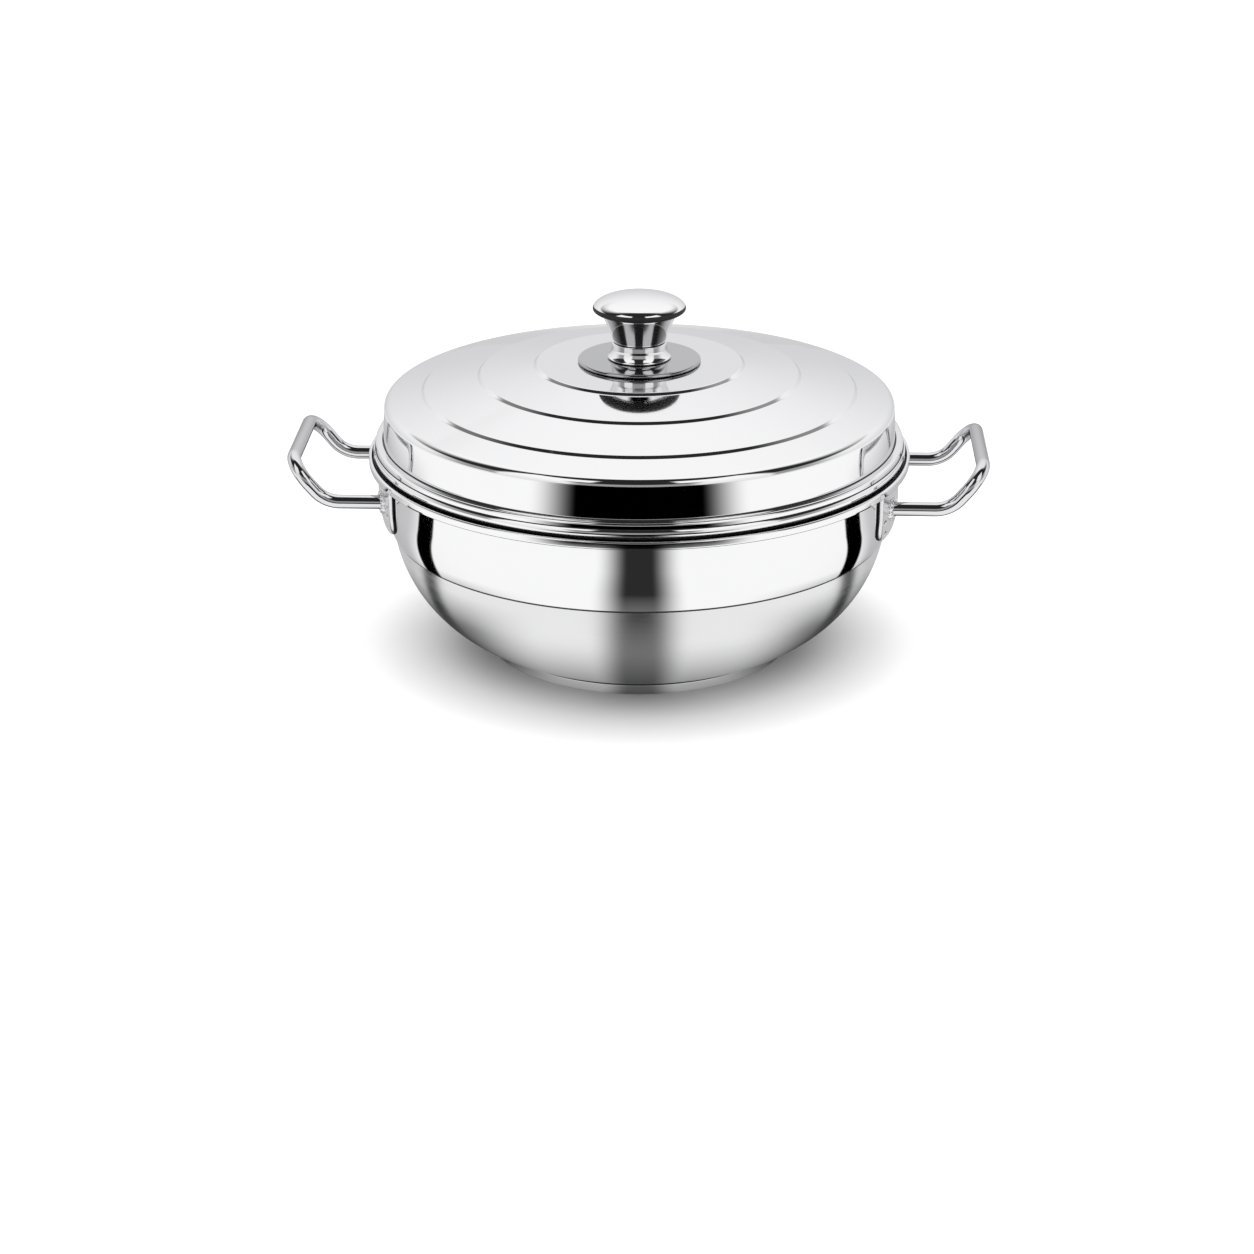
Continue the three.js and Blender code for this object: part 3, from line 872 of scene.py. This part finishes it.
# %% Wire handles
def wire_tree():
    tree = bpy.data.node_groups.new("bend_a_wire", "GeometryNodeTree")
    given = start_tree(tree, {
        "Route": "Object", "Wire Radius": "Float", "Sides": "Int", "Bend Points": "Int", "Finish": "Material",
    })
    route = add(tree, "GeometryNodeObjectInfo", {"Object": given["Route"]})
    curve = add(tree, "GeometryNodeMeshToCurve", {"Mesh": route.outputs["Geometry"]})
    bend = add(tree, "GeometryNodeInputNamedAttribute", {"Name": "bend"}, data_type="FLOAT")
    rounded = add(tree, "GeometryNodeFilletCurve", {
        "Curve": curve,
        "Count": given["Bend Points"],
        "Radius": bend.outputs["Attribute"],
    }, mode="POLY")
    ring = add(tree, "GeometryNodeCurvePrimitiveCircle", {
        "Resolution": given["Sides"],
        "Radius": given["Wire Radius"],
    }, mode="RADIUS")
    wire = add(tree, "GeometryNodeCurveToMesh", {
        "Curve": rounded,
        "Profile Curve": ring,
        "Fill Caps": True,
    })
    smooth = add(tree, "GeometryNodeSetShadeSmooth", {"Geometry": wire})
    real = add(tree, "GeometryNodeRealizeInstances", {"Geometry": smooth})
    finished = add(tree, "GeometryNodeSetMaterial", {"Geometry": real, "Material": given["Finish"]})
    add(tree, "NodeGroupOutput", {0: finished})
    return tree


WIRE_RADIUS = 3.5
LEG_SPACING = 76
GRIP_LENGTH = 78
LEG_LENGTH = 25.5
ELBOW_BEND = 16
GRIP_BEND = 13
WIRE_SIDES = 48
WIRE_BEND_POINTS = 20
BRACKET_THICKNESS = 2.0

leg_height = lowest("handle_right") + WIRE_RADIUS
grip_height = highest("handle_right") - WIRE_RADIUS
grip_reach = widest("handle_right") - WIRE_RADIUS
elbow_reach = wall_radius + LEG_LENGTH
leg_start = math.sqrt((wall_radius + BRACKET_THICKNESS) ** 2 - (LEG_SPACING / 2) ** 2)
bend_a_wire = wire_tree()
for side_name, side in (("left", -1), ("right", 1)):
    half_route = [
        (leg_start, LEG_SPACING / 2, leg_height, 0),
        (elbow_reach, LEG_SPACING / 2, leg_height, ELBOW_BEND),
        (grip_reach, GRIP_LENGTH / 2, grip_height, GRIP_BEND),
    ]
    route = [(side * x, -y, z, b) for x, y, z, b in half_route]
    route += [(side * x, y, z, b) for x, y, z, b in half_route[::-1]]
    drawing = line_object("route_" + side_name, [corner[:3] for corner in route])
    bends = drawing.data.attributes.new("bend", "FLOAT", "POINT")
    bends.data.foreach_set("value", [corner[3] * MM for corner in route])
    handle = grown(f"wire_handle_{side_name}", bend_a_wire, **{
        "Route": drawing,
        "Wire Radius": WIRE_RADIUS * MM,
        "Sides": WIRE_SIDES,
        "Bend Points": WIRE_BEND_POINTS,
        "Finish": wire_steel,
    })
    bpy.data.objects.remove(drawing)
    fit(handle, "bowl", "handle_" + side_name)
    print(handle.name, len(handle.data.polygons), "faces")

# %% [markdown]
# ## The brackets
# Each leg ends on a tongue of sheet that is curved to the wall and spot-welded to it. The tongue is built
# from its outline inwards: rings of points step in from the edge, first round the edge's small radius, then
# flat to the middle, and every point is stood off the wall along its own direction, so the tongue hugs the
# barrel. The electrode left two shallow dull pits, one beside the leg and one below it, towards the
# tongue's outer side. The foot of the edge, next to the wall, has painted shade in the same dark colour. The
# weld round the wire is a rippled bead.

# %% Brackets
BRACKET_WIDTH = 30
BRACKET_CORNER = 11
BRACKET_EDGE = 1.3
BRACKET_RINGS = 40
BRACKET_POINT_STEP = 0.5
BRACKET_TOP_BEND = 1.5
EDGE_STEP_DEGREES = 15
PAINTED_SHADE_EDGE_ROWS = 3
SPOT_RADIUS = 1.6
SPOT_DEPTH = 0.6
SPOT_DULL_SHARE = 0.8
SPOT_PLACES = ((10.4, 3.6), (7.2, 10.2))
WELD_RADIUS = 1.5
WELD_RIPPLES = 14
WELD_RIPPLE_DEPTH = 0.12
WELD_STAND_OUT = 0.6
WELD_STEPS = 96
WELD_ROLL_STEPS = 12

bracket_top = highest("bracket_right_front")
bracket_bottom = lowest("bracket_right_front")


def wall_at(height):
    """The bowl's outside radius at a height on the upper wall."""
    drop = np.clip(STEP_HEIGHT + WALL_CURVE_HEIGHT - height, 0, None)
    return wall_radius - barrel_radius + np.sqrt(barrel_radius ** 2 - drop ** 2)


def on_wall(side, y, z, standoff):
    """Points that stand off the wall at widths y and heights z."""
    return np.column_stack([side * np.sqrt((wall_at(z) + standoff) ** 2 - y ** 2), y, z])


def strips(rows, columns):
    """Quads between closed rows of points."""
    return [
        (r * columns + c, r * columns + (c + 1) % columns,
         (r + 1) * columns + (c + 1) % columns, (r + 1) * columns + c)
        for r in range(rows - 1) for c in range(columns)
    ]


def tongue_outline():
    half = BRACKET_WIDTH / 2
    drawn = np.array(bent([
        (0, bracket_top),
        (-half, bracket_top, BRACKET_TOP_BEND),
        (-half, bracket_bottom, BRACKET_CORNER),
        (half, bracket_bottom, BRACKET_CORNER),
        (half, bracket_top, BRACKET_TOP_BEND),
        (0, bracket_top),
    ]))
    run = np.append(0, np.cumsum(np.linalg.norm(np.diff(drawn, axis=0), axis=1)))
    even = np.linspace(0, run[-1], round(run[-1] / BRACKET_POINT_STEP) + 1)[:-1]
    line = np.column_stack([np.interp(even, run, drawn[:, axis]) for axis in (0, 1)])
    along = np.roll(line, -1, axis=0) - np.roll(line, 1, axis=0)
    inward = np.column_stack([-along[:, 1], along[:, 0]]) / np.linalg.norm(along, axis=1)[:, None]
    return line, inward


def bracket_plate(side, leg_y):
    outline, inward = tongue_outline()
    spots = [(math.copysign(forward, leg_y), leg_height - drop) for forward, drop in SPOT_PLACES]
    middle = np.array([0, (bracket_top + bracket_bottom) / 2])
    rows = [(outline + inward * BRACKET_EDGE, SEAT_GAP), (outline, SEAT_GAP)]
    for turn in np.radians(np.arange(0, 91, EDGE_STEP_DEGREES)):
        step_in = BRACKET_EDGE * (1 - math.cos(turn))
        lift = BRACKET_THICKNESS - BRACKET_EDGE * (1 - math.sin(turn)) + SEAT_GAP
        rows.append((outline + inward * step_in, lift))
    last_edge_row = len(rows) - 1
    edge = rows[last_edge_row][0]
    for share in np.linspace(0, 1, BRACKET_RINGS)[1:-1]:
        rows.append((edge + (middle - edge) * share, BRACKET_THICKNESS + SEAT_GAP))
    points = []
    for place, standoff in rows:
        depth = np.zeros(len(place))
        if standoff >= BRACKET_THICKNESS + SEAT_GAP:
            for spot in spots:
                away = np.hypot(*(place - spot).T) / SPOT_RADIUS
                depth += SPOT_DEPTH * np.clip(1 - away ** 2, 0, None)
        points.append(on_wall(side, place[:, 0] + leg_y, place[:, 1], standoff - depth))
    count = len(outline)
    faces = strips(len(rows), count)
    faces.append(tuple(range(count))[::-1])
    faces.append(tuple(range((len(rows) - 1) * count, len(rows) * count)))
    places = np.vstack([place for place, standoff in rows])
    in_spot = [np.hypot(*(places - spot).T) < SPOT_DULL_SHARE * SPOT_RADIUS for spot in spots]
    shade_and_spots = np.any(in_spot, axis=0) & (np.arange(len(places)) > last_edge_row * count)
    # Painted shade along the foot of the edge next to the wall; the pits above are real dull weld spots.
    shade_and_spots[:PAINTED_SHADE_EDGE_ROWS * count] = True
    return np.vstack(points), faces, [bool(np.all(shade_and_spots[list(face)])) for face in faces]


def weld_bead(side, leg_y):
    turns = np.linspace(0, math.tau, WELD_STEPS + 1)[:-1]
    ripple = 1 + WELD_RIPPLE_DEPTH * np.sin(WELD_RIPPLES * turns)
    rows = []
    for roll in np.linspace(0, math.tau, WELD_ROLL_STEPS + 1)[:-1]:
        away = WIRE_RADIUS + WELD_STAND_OUT * WELD_RADIUS + WELD_RADIUS * ripple * math.cos(roll)
        lift = BRACKET_THICKNESS + SEAT_GAP + WELD_RADIUS * ripple * math.sin(roll)
        rows.append(on_wall(side, leg_y + away * np.cos(turns), leg_height + away * np.sin(turns), lift))
    faces = strips(len(rows) + 1, len(turns))
    total = len(rows) * len(turns)
    return np.vstack(rows), [tuple(i % total for i in face) for face in faces]


def bracket(name, side, leg_y):
    plate, plate_faces, shade_and_spots = bracket_plate(side, leg_y)
    bead, bead_faces = weld_bead(side, leg_y)
    shifted = [tuple(i + len(plate) for i in face) for face in bead_faces]
    mesh = bpy.data.meshes.new(name)
    mesh.from_pydata(np.vstack([plate, bead]) * MM, [], plate_faces + shifted)
    mesh.materials.append(satin_steel)
    mesh.materials.append(painted_shade_and_spot_steel)
    mesh.polygons.foreach_set("material_index", np.array(shade_and_spots + [False] * len(shifted), dtype=np.int32))
    mesh.shade_smooth()
    piece = bpy.data.objects.new(name, mesh)
    bpy.context.collection.objects.link(piece)
    return piece


for side_name, side in (("left", -1), ("right", 1)):
    for end_name, end in (("front", -1), ("back", 1)):
        tongue = bracket(f"tongue_bracket_{side_name}_{end_name}", side, end * LEG_SPACING / 2)
        form = bmesh.new()
        form.from_mesh(tongue.data)
        bmesh.ops.recalc_face_normals(form, faces=form.faces)
        form.to_mesh(tongue.data)
        form.free()
        fit(tongue, "bowl", f"bracket_{side_name}_{end_name}")
        print(tongue.name, len(tongue.data.polygons), "faces")

# %% [markdown]
# ## The white floor
# The kadai stands on white paper. The paper is an ordinary matt white that the lamps light, so it takes the
# soft shadow under the bowl. A little light of its own, which only the camera sees and which grows outwards
# from the bowl's foot, lifts the open paper to white. Photographers lay dark cards round polished steel so
# that it shows crisp dark edges. Here the cards are drawn into the paper for reflections alone: a dark one
# past the front, a grey strip down the middle and a black strip on each side. In reflections the paper under
# the bowl, beside its base and behind it has painted shade, and it fades a little far off. Each row below is
# a
# ramp: what it goes by (metres away or out to the side, or degrees from the front), where it starts and
# ends, its value at both, and how it blends. A value can be another ramp's name.

# %% Floor with its cards
FLOOR_HALF = 20.0
FLOOR_DROP = 0.0002
PAPER_GLOW = 0.42
SHADOW_START = 0.080
SHADOW_END = 0.140
FRONT_CARD_EDGE = 0.385
FRONT_CARD_BLUR = 0.02
SIDE_CARD_PLACE = (0.250, -0.006)
SIDE_CARD_TURN = math.radians(5.7)
SIDE_CARD_END = 0.365
SIDE_CARD_BLUR = 0.002
SOFT, EVEN = "SMOOTHSTEP", "LINEAR"
# under_bowl, behind, beside_base and far_off are painted shade in the paper that the steel mirrors.
FLOOR_TONES = (
    ("under_bowl", "away", 0.07, 0.14, 0.34, 1.0, SOFT),
    ("near_back", "away", 0.40, 0.50, 0.62, 1.0, EVEN),
    ("behind", "degrees", 88, 104, 1.0, "near_back", SOFT),
    ("near_base", "away", 0.12, 0.175, 0.22, 1.0, EVEN),
    ("beside_base", "degrees", 30, 70, 1.0, "near_base", SOFT),
    ("strip_tone", "away", 0.12, 0.20, 0.22, 0.025, EVEN),
    ("middle_strip", "degrees", 4, 16, "strip_tone", 1.0, SOFT),
    ("before_front", "away", FRONT_CARD_EDGE, FRONT_CARD_EDGE + FRONT_CARD_BLUR, 1.0, 0.0, SOFT),
    ("front_card", "degrees", 24, 44, "before_front", 1.0, SOFT),
    ("side_half_width", "out", 0.15, 0.36, 0.0145, 0.031, EVEN),
    ("side_near_end", "out", 0.06, 0.13, 1.0, 0.0, EVEN),
    ("far_off", "away", 0.6, 1.5, 1.0, 0.8, EVEN),
    ("glow", "away", SHADOW_START, SHADOW_END, 0.0, PAPER_GLOW, EVEN),
)


def paper_with_cards():
    material, tree = blank_material("matt_white_paper_with_cards")
    place = add(tree, "ShaderNodeTexCoord")
    axes = add(tree, "ShaderNodeSeparateXYZ", {0: place.outputs["Object"]})
    y = axes.outputs["Y"]
    out = add(tree, "ShaderNodeMath", {0: axes.outputs["X"]}, operation="ABSOLUTE")
    distance = add(tree, "ShaderNodeVectorMath", {0: place.outputs["Object"]}, operation="LENGTH")
    ahead = add(tree, "ShaderNodeMath", {0: y, 1: -1.0}, operation="MULTIPLY")
    bearing = add(tree, "ShaderNodeMath", {0: out, 1: ahead}, operation="ARCTAN2")
    degrees = add(tree, "ShaderNodeMath", {0: bearing}, operation="DEGREES")
    tone = {"away": distance.outputs["Value"], "out": out, "degrees": degrees}
    for name, goes_by, start, end, first, last, blend in FLOOR_TONES:
        tone[name] = add(tree, "ShaderNodeMapRange", {
            "Value": tone[goes_by], "From Min": start, "From Max": end,
            "To Min": tone.get(first, first), "To Max": tone.get(last, last),
        }, interpolation_type=blend)

    from_card = add(tree, "ShaderNodeVectorMath", {
        0: add(tree, "ShaderNodeCombineXYZ", {"X": out, "Y": y}),
        1: (*SIDE_CARD_PLACE, 0),
    }, operation="SUBTRACT")
    off_line = add(tree, "ShaderNodeVectorMath", {
        0: from_card, 1: (-math.sin(SIDE_CARD_TURN), math.cos(SIDE_CARD_TURN), 0),
    }, operation="DOT_PRODUCT").outputs["Value"]
    over_edge = add(tree, "ShaderNodeMath", {
        0: add(tree, "ShaderNodeMath", {0: off_line}, operation="ABSOLUTE"), 1: tone["side_half_width"],
    }, operation="SUBTRACT")
    side_card = add(tree, "ShaderNodeMapRange", {
        "Value": over_edge, "From Min": -SIDE_CARD_BLUR, "From Max": SIDE_CARD_BLUR,
    })
    past_end = add(tree, "ShaderNodeMath", {0: out, 1: SIDE_CARD_END}, operation="GREATER_THAN")
    for bare in (past_end, tone["side_near_end"]):
        side_card = add(tree, "ShaderNodeMath", {0: side_card, 1: bare}, operation="MAXIMUM")

    reflected = side_card
    for name in ("under_bowl", "behind", "beside_base", "middle_strip", "front_card", "far_off"):
        reflected = add(tree, "ShaderNodeMath", {0: reflected, 1: tone[name]}, operation="MULTIPLY")
    seen = add(tree, "ShaderNodeLightPath")
    mirrored = add(tree, "ShaderNodeMath", {
        0: seen.outputs["Is Glossy Ray"], 1: seen.outputs["Is Transmission Ray"],
    }, operation="MAXIMUM")
    shown = add(tree, "ShaderNodeMath", {
        0: seen.outputs["Is Camera Ray"], 1: tone["glow"],
    }, operation="MULTIPLY")
    lit = add(tree, "ShaderNodeBsdfDiffuse", {"Color": linear("#e8e8e8")})
    glow = add(tree, "ShaderNodeEmission", {"Color": linear("#ffffff"), "Strength": shown})
    paper = add(tree, "ShaderNodeAddShader", {0: lit, 1: glow})
    cards = add(tree, "ShaderNodeEmission", {"Color": linear("#ffffff"), "Strength": reflected})
    either = add(tree, "ShaderNodeMixShader", {0: mirrored, 1: paper, 2: cards})
    add(tree, "ShaderNodeOutputMaterial", {"Surface": either})
    return material


floor_mesh = bpy.data.meshes.new("floor")
corners = [(-1, -1), (1, -1), (1, 1), (-1, 1)]
floor_mesh.from_pydata(
    [(x * FLOOR_HALF, y * FLOOR_HALF, -FLOOR_DROP) for x, y in corners], [], [(0, 1, 2, 3)],
)
floor_mesh.materials.append(paper_with_cards())
floor = bpy.data.objects.new("floor", floor_mesh)
floor.rotation_euler = (0, 0, camera_azimuth)
bpy.context.collection.objects.link(floor)
print("paper", 2 * FLOOR_HALF, "m wide")

# %% [markdown]
# ## The studio round the steel
# The background is white. Polished steel also needs something dark to show, or it looks like white plastic.
# So for reflections the front of the studio has a dark ceiling, which ends sooner and is only grey low
# down, and a white softbox on each side of the camera. Behind, the studio is white. The ramps are written
# as they were for the floor: they go by degrees from the front, or by rise, which is 0 at the horizon and 1
# overhead, and here a start or an end can be a ramp's name too. The matt floor is lit by even light from
# all round and by one broad lamp overhead, at a level where white paper renders as white paper.

# %% World and lamp
SKY_LIGHT = 0.62
STRIPES_LEAN = math.radians(8)
LAMP_LIGHT = 1.35
LAMP_SPREAD = math.radians(70)
LAMP_HEIGHT = 1.5
STUDIO_TONES = (
    ("low_start", "rise", 0.40, 0.52, 74, 95, EVEN),
    ("ceiling_start", "rise", 0.55, 0.87, "low_start", 78, EVEN),
    ("low_end", "rise", 0.40, 0.52, 106, 170, EVEN),
    ("ceiling_end", "rise", 0.55, 0.87, "low_end", 112, EVEN),
    ("in_front", "degrees", "ceiling_start", "ceiling_end", 1.0, 0.0, SOFT),
    ("box_inner_side", "degrees", 17, 21, 0.0, 1.0, SOFT),
    ("box_outer_side", "degrees", 57, 64, 1.0, 0.0, SOFT),
    ("box_top", "rise", 0.872, 0.888, 1.0, 0.0, SOFT),
    ("above_corner", "rise", 0.54, 0.62, 0.0, 1.0, SOFT),
    ("beside_corner", "degrees", 22, 34, 0.0, 1.0, SOFT),
    ("depth", "rise", 0.34, 0.50, 0.62, 0.98, SOFT),
    ("white", "rise", 0.05, 0.7, 0.85, 1.0, SOFT),
)


def studio_world():
    world = bpy.data.worlds.new("white_studio")
    world.use_nodes = True
    tree = world.node_tree
    tree.nodes.clear()
    direction = add(tree, "ShaderNodeTexCoord")
    rise = add(tree, "ShaderNodeSeparateXYZ", {0: direction.outputs["Generated"]}).outputs["Z"]
    leaned = add(tree, "ShaderNodeVectorRotate", {
        "Vector": direction.outputs["Generated"], "Angle": STRIPES_LEAN,
    }, rotation_type="X_AXIS")
    axes = add(tree, "ShaderNodeSeparateXYZ", {0: leaned})
    bearing = add(tree, "ShaderNodeMath", {
        0: add(tree, "ShaderNodeMath", {0: axes.outputs["X"]}, operation="ABSOLUTE"),
        1: add(tree, "ShaderNodeMath", {0: axes.outputs["Y"], 1: -1.0}, operation="MULTIPLY"),
    }, operation="ARCTAN2")
    degrees = add(tree, "ShaderNodeMath", {0: bearing}, operation="DEGREES")
    tone = {"rise": rise, "degrees": degrees}
    for name, goes_by, start, end, first, last, blend in STUDIO_TONES:
        tone[name] = add(tree, "ShaderNodeMapRange", {
            "Value": tone[goes_by], "From Min": tone.get(start, start), "From Max": tone.get(end, end),
            "To Min": tone.get(first, first), "To Max": tone.get(last, last),
        }, interpolation_type=blend)
    softbox = add(tree, "ShaderNodeMath", {
        0: tone["beside_corner"], 1: tone["above_corner"],
    }, operation="MAXIMUM")
    for side in ("box_inner_side", "box_outer_side", "box_top"):
        softbox = add(tree, "ShaderNodeMath", {0: softbox, 1: tone[side]}, operation="MULTIPLY")
    unlit = add(tree, "ShaderNodeMath", {0: tone["depth"], 1: softbox}, operation="SUBTRACT", use_clamp=True)
    dark = add(tree, "ShaderNodeMath", {0: tone["in_front"], 1: unlit}, operation="MULTIPLY")
    light_left = add(tree, "ShaderNodeMath", {0: 1.0, 1: dark}, operation="SUBTRACT")
    shade = add(tree, "ShaderNodeMath", {0: tone["white"], 1: light_left}, operation="MULTIPLY")
    seen = add(tree, "ShaderNodeLightPath")
    mirrored = add(tree, "ShaderNodeMath", {
        0: seen.outputs["Is Glossy Ray"], 1: seen.outputs["Is Transmission Ray"],
    }, operation="MAXIMUM")
    light = add(tree, "ShaderNodeBackground", {"Color": linear("#ffffff"), "Strength": SKY_LIGHT})
    studio = add(tree, "ShaderNodeBackground", {"Color": linear("#ffffff"), "Strength": shade})
    backdrop = add(tree, "ShaderNodeBackground", {"Color": linear("#ffffff"), "Strength": 1.0})
    reflected = add(tree, "ShaderNodeMixShader", {0: mirrored, 1: light, 2: studio})
    shown = add(tree, "ShaderNodeMixShader", {
        0: seen.outputs["Is Camera Ray"], 1: reflected, 2: backdrop,
    })
    add(tree, "ShaderNodeOutputWorld", {"Surface": shown})
    return world


bpy.context.scene.world = studio_world()
lamp_data = bpy.data.lights.new("broad_lamp", "SUN")
lamp_data.energy = LAMP_LIGHT
lamp_data.angle = LAMP_SPREAD
lamp = bpy.data.objects.new("broad_lamp", lamp_data)
lamp.location = (0, 0, LAMP_HEIGHT)
lamp.visible_glossy = False
bpy.context.collection.objects.link(lamp)
bpy.context.scene.view_settings.view_transform = "Standard"
print("lamp at", lamp_data.energy, "sky at", SKY_LIGHT)
